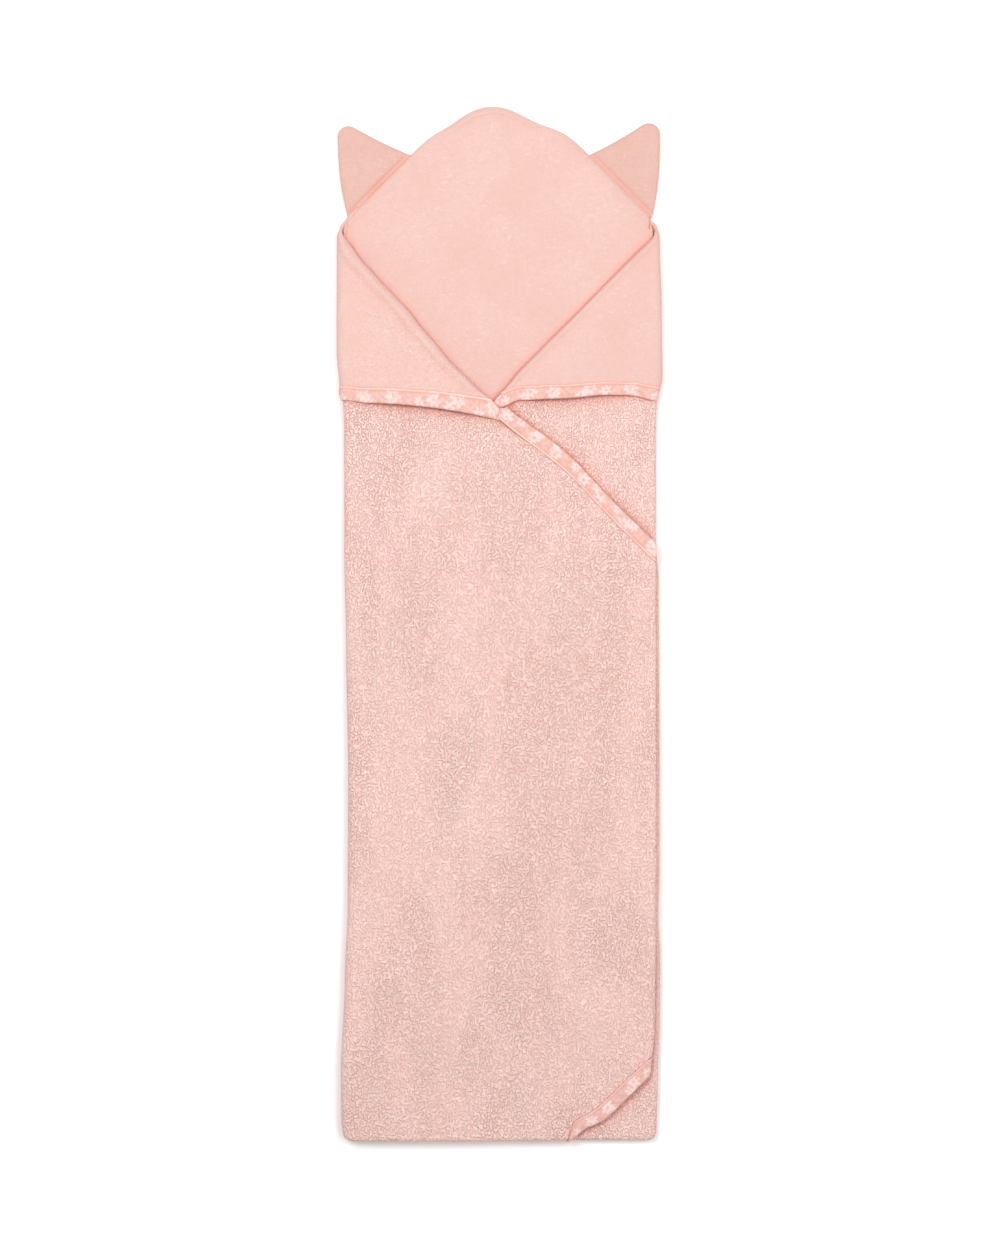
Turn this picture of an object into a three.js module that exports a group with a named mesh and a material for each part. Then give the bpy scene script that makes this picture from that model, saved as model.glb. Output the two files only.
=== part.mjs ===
// A hooded baby towel, folded for display: a square terry towel with a triangular hood across one
// corner, two sewn ears and a bias binding round its edges. It lies flat, hood corner towards +Y.
// The bottom corner is turned up, then the right side and last the left side are folded over.
// The left side is a wing that opens about its fold, and each ear turns about its seam.
import * as THREE from 'three';

// Driving dimensions, in millimetres.
const towelSide = 762;
const hoodHalfOpening = 236;
const hoodCornerRadius = 75;
const turnupHeight = 291.5;
const tailFoldInset = 5;
const clothThickness = 2.4;
const layerGap = 0.3;
const bindingWidth = 11;
const crossingSag = 12;
const shoulderDrop = 5;
const flapTipGap = 3;
const stitchInset = 1.4;
const stitchWidth = 0.8;
const stitchHeight = 0.5;
const earBaseLength = 65;
const earHeight = 49;
const earTipShift = 12;
const earTipRadius = 11;
const earPlyThickness = 2.2;
const earFromCorner = 125;
const rampLength = 30;
const rampClearance = 4;

// The folded bundle. The side folds are set so that the hood's two flipped tips meet at the middle.
// The cloth bends upright round each side fold, and the panels end a gap inside it.
const halfWidth = hoodHalfOpening / 2;
const diagonal = towelSide * Math.SQRT2;
const roundingLoss = hoodCornerRadius * (Math.SQRT2 - 1);
const foldedLength = diagonal - turnupHeight - roundingLoss;
const topY = foldedLength / 2;
const bottomY = -topY;
const cornerY = topY + roundingLoss;
const panelHalfWidth = halfWidth - clothThickness - layerGap;
const shoulderY = cornerY - panelHalfWidth;
const veeTopY = shoulderY - shoulderDrop;
const crossingY = cornerY - hoodHalfOpening - crossingSag;
const hoodOpeningY = crossingY + flapTipGap;
const turnupApexY = bottomY + turnupHeight;

// The wing's tail: what reaches past the bundle's far side is tucked back under the wing.
const tailFoldX = halfWidth - tailFoldInset;
const widestY = cornerY - diagonal / 2;
const tailLength = diagonal / 2 - halfWidth - (halfWidth + tailFoldX);
const tailTopY = widestY + tailLength;
const tailBottomY = widestY - tailLength;
const lowerEdgeX = tailFoldX - (tailBottomY - bottomY);
const sideTurnupY = turnupApexY - panelHalfWidth;

// Heights of the layers, counted from the surface that the towel lies on.
const layerPitch = clothThickness + layerGap;
const level = (count) => count * layerPitch;
const stackTop = level(5) + clothThickness + layerGap + stitchHeight;
const hingeHeight = stackTop / 2;

// Colours and finish of the cloths.
const terryCloth = new THREE.MeshStandardMaterial({ color: 0xf2cbbf, roughness: 0.95, metalness: 0 });
const knitCloth = new THREE.MeshStandardMaterial({ color: 0xf5d0c6, roughness: 0.85, metalness: 0 });
const printedTape = new THREE.MeshStandardMaterial({ color: 0xeebda9, roughness: 0.8, metalness: 0 });
const sewingThread = new THREE.MeshStandardMaterial({ color: 0xf0c3b2, roughness: 0.6, metalness: 0 });

const towel = new THREE.Group();

const at = (x, y) => new THREE.Vector2(x, y);
const mirrored = (outline) => outline.map((corner) => at(-corner.x, corner.y)).reverse();

/** Points along an arc, both ends included, from one angle to another in degrees. */
function arc(centre, radius, fromDegrees, toDegrees, steps) {
  const points = [];
  for (let step = 0; step <= steps; step += 1) {
    const angle = THREE.MathUtils.degToRad(THREE.MathUtils.lerp(fromDegrees, toDegrees, step / steps));
    points.push(at(centre.x + radius * Math.cos(angle), centre.y + radius * Math.sin(angle)));
  }
  return points;
}

/** Where the line through a along u meets the line through b along v. */
function meeting(a, u, b, v) {
  const along = b.clone().sub(a).cross(v) / u.cross(v);
  return a.clone().addScaledVector(u, along);
}

/** One corner of an outline whose two edges moved inwards. A bound edge that runs on from a plain
 *  one in nearly the same direction is stepped in square to itself, clear of the tape by clearance. */
function insetCorner(outline, index, distances, clearance) {
  const count = outline.length;
  const corner = outline[index];
  const before = corner.clone().sub(outline[(index + count - 1) % count]).normalize();
  const after = outline[(index + 1) % count].clone().sub(corner).normalize();
  const inwardsBefore = at(-before.y, before.x);
  const inwardsAfter = at(-after.y, after.x);
  const distanceBefore = distances[(index + count - 1) % count];
  const distanceAfter = distances[index];
  if (distanceBefore === 0 && distanceAfter === 0) return [corner];
  const nearlyStraight = before.dot(after) > 0.97;
  if (nearlyStraight && distanceAfter === 0) {
    const stepped = corner.clone().addScaledVector(inwardsBefore, distanceBefore);
    return [stepped.addScaledVector(before, clearance), corner.clone().addScaledVector(after, clearance)];
  }
  const onBefore = corner.clone().addScaledVector(inwardsBefore, distanceBefore);
  const onAfter = corner.clone().addScaledVector(inwardsAfter, distanceAfter);
  return [meeting(onBefore, before, onAfter, after)];
}

/** The cloth left inside its binding: each bound edge moves in by the tape's width and a gap. */
function clothInside(outline, boundEdges) {
  const inset = bindingWidth + layerGap;
  const distances = outline.map((_, edge) => (boundEdges.includes(edge) ? inset : 0));
  return outline.flatMap((_, corner) => insetCorner(outline, corner, distances, layerGap));
}

/** A strip along a run of neighbouring bound edges, between two distances from the edge. */
function edgeStrip(outline, boundEdges, from, to) {
  const count = outline.length;
  const cornerAt = (index, distance) => {
    const distances = outline.map((_, edge) => (boundEdges.includes(edge) ? distance : 0));
    return insetCorner(outline, index % count, distances, 0)[0];
  };
  const run = [...boundEdges, boundEdges[boundEdges.length - 1] + 1];
  const outside = run.map((index) => cornerAt(index, from));
  const inside = run.map((index) => cornerAt(index, to)).reverse();
  return [...outside, ...inside];
}

const bindingStrip = (outline, boundEdges) => edgeStrip(outline, boundEdges, 0, bindingWidth);

const stitchStrip = (outline, boundEdges) => {
  const seam = bindingWidth - stitchInset;
  return edgeStrip(outline, boundEdges, seam - stitchWidth, seam);
};

/** Height of a profile, a list of {y, z} in rising y, at any y. */
function heightAt(profile, y) {
  const last = profile[profile.length - 1];
  if (y <= profile[0].y) return profile[0].z;
  if (y >= last.y) return last.z;
  const next = profile.findIndex((point) => point.y > y);
  const { y: fromY, z: fromZ } = profile[next - 1];
  const { y: toY, z: toZ } = profile[next];
  return THREE.MathUtils.mapLinear(y, fromY, toY, fromZ, toZ);
}

/** The part of an outline on one side of a line of constant y: above it for side 1, below for -1. */
function clipAcross(outline, y, side) {
  const kept = [];
  outline.forEach((from, index) => {
    const to = outline[(index + 1) % outline.length];
    const fromInside = side * (from.y - y) >= 0;
    const toInside = side * (to.y - y) >= 0;
    if (fromInside) kept.push(from);
    if (fromInside !== toInside) kept.push(from.clone().lerp(to, (y - from.y) / (to.y - from.y)).setY(y));
  });
  return kept;
}

const raisedBy = (profile, rise) => profile.map((point) => ({ y: point.y, z: point.z + rise }));

/** One closed body over an outline, between two profiles along Y. The outline is cut into bands at
 *  the profiles' points, so that each band's faces are flat. */
function solidBetween(outline, underside, topside) {
  const breaks = [...new Set([...underside, ...topside].map((point) => point.y))].sort((a, b) => a - b);
  const cuts = [-Infinity, ...breaks, Infinity];
  const corners = [];
  const addTriangle = (a, b, c) => corners.push(...a, ...b, ...c);
  const under = (point) => [point.x, point.y, heightAt(underside, point.y)];
  const over = (point) => [point.x, point.y, heightAt(topside, point.y)];
  for (let band = 0; band + 1 < cuts.length; band += 1) {
    let piece = outline;
    if (band > 0) piece = clipAcross(piece, cuts[band], 1);
    if (band + 2 < cuts.length) piece = clipAcross(piece, cuts[band + 1], -1);
    if (piece.length < 3) continue;
    for (const [a, b, c] of THREE.ShapeUtils.triangulateShape(piece, [])) {
      addTriangle(over(piece[a]), over(piece[b]), over(piece[c]));
      addTriangle(under(piece[c]), under(piece[b]), under(piece[a]));
    }
    piece.forEach((from, index) => {
      const to = piece[(index + 1) % piece.length];
      const onCut = from.y === to.y && cuts.includes(from.y);
      if (onCut) return;
      addTriangle(under(from), under(to), over(to));
      addTriangle(under(from), over(to), over(from));
    });
  }
  const geometry = new THREE.BufferGeometry();
  geometry.setAttribute('position', new THREE.Float32BufferAttribute(corners, 3));
  return geometry;
}

/** A layer of cloth of even thickness whose underside follows a profile. */
function clothLayer(outline, profile, thickness) {
  return solidBetween(outline, profile, raisedBy(profile, thickness));
}

function addPiece(name, geometry, material) {
  const mesh = new THREE.Mesh(geometry, material);
  mesh.name = name;
  towel.add(mesh);
  return mesh;
}

/** A profile at one height all along. */
const flat = (count) => [{ y: 0, z: level(count) }];

/** A profile that lies on the turned-up corner and comes down one layer past its point. */
const overTurnup = (count) => [
  { y: turnupApexY + rampClearance, z: level(count + 1) },
  { y: turnupApexY + rampClearance + rampLength, z: level(count) },
];

/** The towel's hood corner, from shoulder to shoulder, as a rounded point. */
function hoodCorner() {
  const centre = at(0, cornerY - hoodCornerRadius * Math.SQRT2);
  const point = arc(centre, hoodCornerRadius, 45, 135, 16);
  return [at(panelHalfWidth, shoulderY), ...point, at(-panelHalfWidth, shoulderY)];
}

/** The middle of the towel, lying outer face up, raised where the hood is behind it. */
function addBackPanel() {
  const outline = [at(-panelHalfWidth, bottomY), at(panelHalfWidth, bottomY), ...hoodCorner()];
  const rampTopY = hoodOpeningY - rampClearance;
  const profile = [{ y: rampTopY - rampLength, z: level(0) }, { y: rampTopY, z: level(1) }];
  addPiece('back_panel', clothLayer(outline, profile, clothThickness), terryCloth);
}

/** The middle of the hood, behind the towel's corner, with its bound opening edge at the bottom. */
function addHoodBack() {
  const outline = [at(-panelHalfWidth, hoodOpeningY), at(panelHalfWidth, hoodOpeningY), ...hoodCorner()];
  const openingEdge = [0];
  addPiece('hood_back', clothLayer(clothInside(outline, openingEdge), flat(0), clothThickness), knitCloth);
  const tape = clothLayer(bindingStrip(outline, openingEdge), flat(0), clothThickness);
  addPiece('hood_back_binding', tape, printedTape);
}

/** The towel's bottom corner, turned up on to the back panel before the sides are folded. */
function addBottomTurnup() {
  const outline = [
    at(-panelHalfWidth, bottomY),
    at(panelHalfWidth, bottomY),
    at(panelHalfWidth, sideTurnupY),
    at(0, turnupApexY),
    at(-panelHalfWidth, sideTurnupY),
  ];
  const cutEdges = [2, 3];
  addPiece('bottom_turnup', clothLayer(clothInside(outline, cutEdges), flat(1), clothThickness), terryCloth);
  const tape = clothLayer(bindingStrip(outline, cutEdges), flat(1), clothThickness);
  addPiece('bottom_turnup_binding', tape, printedTape);
}

/** Outlines of a folded side as it lies on the bundle, for the left side. */
const wingOutlines = {
  panel: [
    at(-panelHalfWidth, bottomY),
    at(lowerEdgeX, bottomY),
    at(tailFoldX, tailBottomY),
    at(tailFoldX, tailTopY),
    at(0, crossingY),
    at(-panelHalfWidth, veeTopY),
  ],
  tail: [at(tailFoldX, tailBottomY), at(tailFoldX, tailTopY), at(tailFoldX - tailLength, widestY)],
  turnup: [at(-panelHalfWidth, bottomY), at(lowerEdgeX, bottomY), at(-panelHalfWidth, sideTurnupY)],
  hoodFlap: [at(-panelHalfWidth, hoodOpeningY), at(-flapTipGap, hoodOpeningY), at(-panelHalfWidth, veeTopY)],
};
const lowerPanelEdge = [1];
const upperPanelEdge = [3];
const tailEdges = [1, 2];
const turnupEdge = [1];
const hoodOpeningEdge = [0];

/** One folded side: panel, tucked tail, turned-up point and flipped hood corner, with their tape.
 *  innerCount is the layer of its tucked pieces, and hoodCount that of its hood flap. */
function addWing(side, place, innerCount, panelProfile, hoodCount) {
  const add = (name, outline, profile, material, thickness = clothThickness) => {
    addPiece(`${side}_${name}`, clothLayer(place(outline), profile, thickness), material);
  };
  const { panel, tail, turnup, hoodFlap } = wingOutlines;
  const innerProfile = overTurnup(innerCount);
  const hoodProfile = flat(hoodCount);
  add('panel', clothInside(panel, [...lowerPanelEdge, ...upperPanelEdge]), panelProfile, terryCloth);
  add('panel_upper_binding', bindingStrip(panel, upperPanelEdge), panelProfile, printedTape);
  add('panel_lower_binding', bindingStrip(panel, lowerPanelEdge), panelProfile, printedTape);
  add('tail', clothInside(tail, tailEdges), innerProfile, terryCloth);
  add('tail_binding', bindingStrip(tail, tailEdges), innerProfile, printedTape);
  add('turnup', clothInside(turnup, turnupEdge), innerProfile, terryCloth);
  add('turnup_binding', bindingStrip(turnup, turnupEdge), innerProfile, printedTape);
  add('hood_flap', clothInside(hoodFlap, hoodOpeningEdge), hoodProfile, knitCloth);
  add('hood_binding', bindingStrip(hoodFlap, hoodOpeningEdge), hoodProfile, printedTape);
  const onTop = clothThickness + layerGap;
  const hoodSeam = raisedBy(hoodProfile, onTop);
  add('hood_stitching', stitchStrip(hoodFlap, hoodOpeningEdge), hoodSeam, sewingThread, stitchHeight);
}

/** The upright bend of the cloth along a side fold, between two profiles. */
function foldWall(place, underside, topside) {
  const outline = [
    at(-halfWidth, bottomY),
    at(clothThickness - halfWidth, bottomY),
    at(clothThickness - halfWidth, veeTopY),
    at(-halfWidth, veeTopY),
  ];
  return solidBetween(place(outline), underside, topside);
}

/** The right fold reaches from the ground to the top of the right side. The left fold is divided at
 *  the height of its hinge: its lower half stays with the back, its upper half with the wing. */
function addFolds(rightPanelProfile, leftPanelProfile) {
  const unmoved = (outline) => outline;
  const rightTop = raisedBy(rightPanelProfile, clothThickness);
  const leftTop = raisedBy(leftPanelProfile, clothThickness);
  const belowHinge = [{ y: 0, z: hingeHeight - layerGap / 2 }];
  const aboveHinge = [{ y: 0, z: hingeHeight + layerGap / 2 }];
  addPiece('right_fold', foldWall(mirrored, flat(0), rightTop), terryCloth);
  addPiece('left_fold_lower', foldWall(unmoved, flat(0), belowHinge), terryCloth);
  addPiece('left_fold_upper', foldWall(unmoved, aboveHinge, leftTop), terryCloth);
}

/** Sewing thread along the two bound edges of the left panel, which lies uppermost. */
function addPanelStitching(panelProfile) {
  const seam = raisedBy(panelProfile, clothThickness + layerGap);
  const { panel } = wingOutlines;
  const upper = clothLayer(stitchStrip(panel, upperPanelEdge), seam, stitchHeight);
  const lower = clothLayer(stitchStrip(panel, lowerPanelEdge), seam, stitchHeight);
  addPiece('left_panel_upper_stitching', upper, sewingThread);
  addPiece('left_panel_lower_stitching', lower, sewingThread);
}

/** An ear's outline in its own frame: x along the seam towards the hood's point, y away from it. */
function earOutline(baseY) {
  const tip = at(earTipShift, earHeight - earTipRadius);
  const corners = [at(-earBaseLength / 2, baseY), at(earBaseLength / 2, baseY)];
  const tangentAngle = (corner, turn) => {
    const offset = corner.clone().sub(tip);
    const direction = THREE.MathUtils.radToDeg(Math.atan2(offset.y, offset.x));
    return direction + turn * THREE.MathUtils.radToDeg(Math.acos(earTipRadius / offset.length()));
  };
  const fromDegrees = tangentAngle(corners[1], 1);
  const toDegrees = tangentAngle(corners[0], -1) + 360;
  return [...corners, ...arc(tip, earTipRadius, fromDegrees, toDegrees, 10)];
}

/** An ear of two plies sewn into the hood's seam. The gap at the seam lets it turn a right angle. */
function addEar(side, mirror) {
  const earThickness = 2 * earPlyThickness + layerGap;
  const seamGap = earThickness + 2 * layerGap;
  const seamX = -earFromCorner * Math.SQRT1_2;
  const seamMiddle = at(seamX, cornerY + seamX);
  const seamTurn = Math.PI / 4;
  const place = (point) => point.rotateAround(at(0, 0), seamTurn).add(seamMiddle);
  const placed = earOutline(seamGap).map(place);
  const outline = mirror ? mirrored(placed) : placed;
  const plies = [['back', 0], ['front', earPlyThickness + layerGap]];
  plies.forEach(([ply, height]) => {
    const profile = [{ y: 0, z: height }];
    addPiece(`${side}_ear_${ply}`, clothLayer(outline, profile, earPlyThickness), knitCloth);
  });
}

addBackPanel();
addHoodBack();
addBottomTurnup();

const rightPanelProfile = overTurnup(2);
addWing('right', mirrored, 1, rightPanelProfile, 3);

const leftPanelProfile = [
  ...overTurnup(4),
  { y: tailTopY + rampClearance, z: level(4) },
  { y: tailTopY + rampClearance + rampLength, z: level(3) },
];
addWing('left', (outline) => outline, 3, leftPanelProfile, 4);
addPanelStitching(leftPanelProfile);
addFolds(rightPanelProfile, leftPanelProfile);

addEar('left', false);
addEar('right', true);

export default towel;
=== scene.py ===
import math

import bmesh
import bpy
import numpy as np
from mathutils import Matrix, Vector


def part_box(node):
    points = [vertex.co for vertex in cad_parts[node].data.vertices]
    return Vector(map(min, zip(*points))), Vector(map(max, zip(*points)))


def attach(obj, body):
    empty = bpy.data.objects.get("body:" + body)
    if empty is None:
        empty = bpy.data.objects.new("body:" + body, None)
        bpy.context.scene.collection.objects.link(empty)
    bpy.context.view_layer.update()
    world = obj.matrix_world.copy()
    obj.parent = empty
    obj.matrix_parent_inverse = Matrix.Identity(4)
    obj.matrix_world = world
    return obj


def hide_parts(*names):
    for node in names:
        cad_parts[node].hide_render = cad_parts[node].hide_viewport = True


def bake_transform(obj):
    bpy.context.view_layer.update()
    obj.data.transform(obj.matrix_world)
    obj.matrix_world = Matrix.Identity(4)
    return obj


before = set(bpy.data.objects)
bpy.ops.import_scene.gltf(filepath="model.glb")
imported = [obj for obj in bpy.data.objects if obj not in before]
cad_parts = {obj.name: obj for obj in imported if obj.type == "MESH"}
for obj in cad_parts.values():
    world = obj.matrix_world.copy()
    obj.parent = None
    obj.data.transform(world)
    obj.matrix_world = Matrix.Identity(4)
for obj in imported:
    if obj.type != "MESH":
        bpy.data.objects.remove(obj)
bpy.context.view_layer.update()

# Everything below is worked out in millimetres and turned into metres where a mesh is made.
MM = 0.001
ROOT2 = math.sqrt(2)


def corner_mm(node, which):
    """The lowest (0) or highest (1) corner of a CAD node, in millimetres."""
    return np.array(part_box(node)[which]) / MM


# Places taken from the CAD frame.
HALF_WIDTH = -corner_mm("left_fold_upper", 0)[0]
BOTTOM_Y = corner_mm("back_panel", 0)[1]
TOP_Y = corner_mm("back_panel", 1)[1]
OPENING_Y = corner_mm("hood_back_binding", 0)[1]
TAIL_FOLD_X = corner_mm("left_panel", 1)[0]
TURNUP_TOP_Y = corner_mm("bottom_turnup_binding", 1)[1]
RIGHT_FLAP_Z = corner_mm("right_hood_flap", 0)[2]
LEFT_FLAP_Z = corner_mm("left_hood_flap", 0)[2]
CLOTH = corner_mm("hood_back", 1)[2]
PITCH = corner_mm("bottom_turnup", 0)[2]

# The towel is a square laid on its corner. The hood corner, at the top, is rounded off.
HOOD_RADIUS = 75.0
CORNER_Y = TOP_Y + HOOD_RADIUS * (ROOT2 - 1)
ARC_Y = CORNER_Y - HOOD_RADIUS * ROOT2
DIAGONAL = 762.0 * ROOT2
WIDEST_Y = CORNER_Y - DIAGONAL / 2
LOWEST_V = CORNER_Y - DIAGONAL
SHOULDER_Y = CORNER_Y - HALF_WIDTH
TAIL_U = HALF_WIDTH + TAIL_FOLD_X
TIP_U = DIAGONAL / 2 - HALF_WIDTH
TAIL_TOP_Y = SHOULDER_Y - TAIL_U

# How the cloth and its tape are made up.
HALF_CLOTH = CLOTH / 2
HALF_UNDER_TAPE = 0.85
TAPE_WIDTH = 9.6
HALF_TAPE = 0.28
TAPE_LIFT = HALF_UNDER_TAPE + 0.1 + HALF_TAPE
BEND_U = 9.0
TAIL_BEND_U = 2.4
TURN_V = 2.2
CUT_RIM = 1.2
FAR = 99.0

# The cut edge is bound up to the first of these, and sewn in deeper above the second.
BOUND_TOP_Y = 168.0
SEWN_IN_Y = 160.0

# Steps of the cloths' grids.
FINE = 2.4
COARSE = 6.0

STITCH_PITCH = 3.0
STITCH_LENGTH = 2.2
STITCH_RADIUS = 0.26
STITCH_SIDES = 6
STITCH_INSET = 1.5


def smooth(t):
    """Smoothstep of t, which is first clipped to 0 to 1."""
    t = np.clip(t, 0.0, 1.0)
    return t * t * (3.0 - 2.0 * t)


def bell(value, middle, width):
    """A bump of height 1 at middle, dying away over about twice the width."""
    return np.exp(-(((value - middle) / width) ** 2))


def along(points, y):
    """A curve through (y, value) points given in falling y, read at y."""
    ys, values = np.array(points, float)[::-1].T
    y = np.clip(np.asarray(y, float), ys[0], ys[-1])
    index = np.clip(np.searchsorted(ys, y, side="right") - 1, 0, len(ys) - 2)
    share = (y - ys[index]) / (ys[index + 1] - ys[index])
    return values[index] + (values[index + 1] - values[index]) * smooth(share)


def swell(x, y, seed, length):
    """A soft random swell of the cloth, between about -1 and 1, with that wavelength."""
    draw = np.random.default_rng(seed)
    total = 0.0
    for _ in range(7):
        angle, phase = draw.uniform(0, 2 * math.pi, 2)
        turn = 2 * math.pi / (length * draw.uniform(0.7, 1.6))
        total = total + np.sin((x * math.cos(angle) + y * math.sin(angle)) * turn + phase)
    return total / 3.2


def level(count):
    """The height of the middle of a cloth that has count layers under it."""
    return count * PITCH + HALF_CLOTH


# How far out the middle of each side fold runs, as (y, distance from the middle line).
LEFT_HOOD_FOLD = [
    (300, 114.0), (291, 115.6), (282, 118.3), (200, 118.5), (172, 116.4), (OPENING_Y, 115.4),
]
LEFT_BODY_FOLD = [
    (SHOULDER_Y, 114.0), (172, 114.2), (145, 112.9), (50, 112.8), (-20, 111.4), (-110, 109.9),
    (-205, 110.2), (-260, 112.4), (-330, 115.2), (-362, 115.0), (BOTTOM_Y, 113.6),
]
RIGHT_HOOD_FOLD = [
    (298, 109.5), (291, 114.0), (281, 115.8), (230, 117.2), (180, 117.8), (OPENING_Y, 114.2),
]
RIGHT_BODY_FOLD = [
    (SHOULDER_Y, 111.0), (172, 114.2), (145, 112.8), (62, 112.9), (30, 115.0), (-90, 115.6),
    (-180, 115.6), (-215, 114.8), (-245, 116.2), (-290, 115.8), (-330, 114.4), (BOTTOM_Y, 113.2),
]
# Where the far edge of each side, folded back under itself, runs.
LEFT_TAIL_FOLD = [
    (80, 112.6), (30, 112.8), (-150, 112.8), (-230, 112.4), (-285, 111.6), (-330, 107.4),
    (BOTTOM_Y, 105.6),
]
RIGHT_TAIL_FOLD = [(80, 108.0), (BOTTOM_Y, 107.0)]

# Where the layers on top step up: over the far tail, and over the turned-up bottom.
TAIL_RAMP_Y = TAIL_TOP_Y + 36
RAMP_TOP_Y = TURNUP_TOP_Y + 36
RAMP_FOOT_Y = TURNUP_TOP_Y + 2
HOOD_GAP = 0.35


# Each of these gives the height of the middle of one layer at y.


def back_height(y):
    return along([(OPENING_Y - 4, level(1)), (OPENING_Y - 34, level(0))], y)


def right_height(y):
    return along([(RAMP_TOP_Y, level(2)), (RAMP_FOOT_Y, level(3))], y)


def left_height(y):
    steps = [(TAIL_RAMP_Y, 3), (TAIL_TOP_Y, 4), (RAMP_TOP_Y, 4), (RAMP_FOOT_Y, 5)]
    return along([(place, level(count)) for place, count in steps], y)


def same_height(height):
    return lambda y: np.full_like(y, height)


hood_height = same_height(level(0) + HOOD_GAP)
left_flap_height = same_height(LEFT_FLAP_Z + HALF_CLOTH)
right_flap_height = same_height(RIGHT_FLAP_Z + HALF_CLOTH)


def left_relief(x, y):
    """Swells of the top panel, and the step over the edge of the right side under it."""
    over_right = (y - 160) - 0.9 * x
    step = 0.5 * smooth((6 - over_right) / 16.0) * (y > 40)
    broad = 0.75 * swell(x, y * 0.6, 3, 120) + 0.3 * swell(x * 1.3, y * 0.5, 4, 42)
    return 0.9 + broad + step + 0.1 * swell(x, y, 12, 9)


def right_relief(x, y):
    """Swells of the right side, and the ridge that the pull of the crossing leaves on it."""
    ridge = 0.8 * bell((x - 24) * 0.707 + (y - 148) * 0.707, 0, 3.2) * smooth((44 - x) / 12.0)
    return 0.2 + 0.4 * swell(x, y, 8, 80) + 0.2 * swell(x, y, 9, 30) + 0.1 * swell(x, y, 13, 9) + ridge


def left_flap_relief(x, y):
    """Swells of the left flap, whose lower edge stands off the towel."""
    lifted = 5.0 * smooth((OPENING_Y + 45 - y) / 45.0) ** 2
    lifted = lifted * smooth((x + 112) / 40.0) * smooth((2 - x) / 45.0)
    return lifted + 0.7 + 0.5 * swell(x, y, 5, 70) + 0.2 * swell(x, y, 15, 24) + 0.06 * swell(x, y, 14, 9)


def right_flap_relief(x, y):
    """Swells of the right flap, whose lower edge stands off the towel too."""
    lifted = 3.5 * smooth((OPENING_Y + 40 - y) / 40.0) ** 2
    lifted = lifted * smooth((110 - x) / 40.0) * smooth((x - 14) / 30.0)
    broad = 0.5 + 0.45 * swell(x, y, 6, 70)
    return lifted + broad + 0.18 * swell(x, y, 16, 24) + 0.06 * swell(x, y, 17, 9)


def back_relief(x, y):
    """Swells of the back where it shows, inside and above the hood's flaps."""
    shown = smooth((y - 165) / 20.0) * smooth((x + 103) / 16.0)
    return (0.5 + 0.45 * swell(x, y, 21, 75) + 0.12 * swell(x, y, 22, 22)) * shown


def dome_shift(x, y):
    """How far the top of the hood has slumped on each side of its point."""
    right = 5.6 * bell(x, 28, 19)
    left = 3.2 * bell(x, -38, 14)
    raised = 1.8 * bell(x, -9, 20)
    return (raised - right - left) * smooth((y - 290) / 62.0)


def no_relief(x, y):
    return np.zeros_like(x)


# How strongly the crossing pulls at the cloth, as (y, share).
PULL_DEPTH = [(300, 0.0), (230, 0.35), (175, 0.68), (OPENING_Y, 1.0), (120, 0.9), (20, 0.0)]


def left_flap_shift(x, y):
    """How far the crossing pulls the left flap down."""
    share = np.clip((x + HALF_WIDTH) / HALF_WIDTH, 0, 1.1)
    return -(1.9 + 13.0 * share**2.2) * along(PULL_DEPTH, y)


def left_body_shift(x, y):
    """How far the crossing pulls the top panel down, and how far its right edge hangs slack."""
    share = np.clip((x + HALF_WIDTH) / HALF_WIDTH, 0, 1)
    pull = np.where(x < 0, share**2, 1 - smooth(x / 55.0) * 0.95)
    slack = 2.0 * smooth((x - 50) / 40.0) * smooth((y - 5) / 40.0) * smooth((150 - y) / 20.0)
    low_slack = 9.0 * smooth((x - 38) / 40.0) * smooth((-235 - y) / 50.0)
    low_slack = low_slack * smooth((y - BOTTOM_Y - 2) / 26.0)
    return -10.0 * pull * along(PULL_DEPTH, y) * smooth((125 - x) / 40.0) - slack - low_slack


def right_shift(x, y):
    """How far the crossing pulls the right side down; further out it is pushed up a little."""
    pull = along([(118, 3.2), (80, 3.9), (44, 1.2), (15, 0.2), (-2, -6.5)], x)
    return pull * along(PULL_DEPTH, y)


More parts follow.
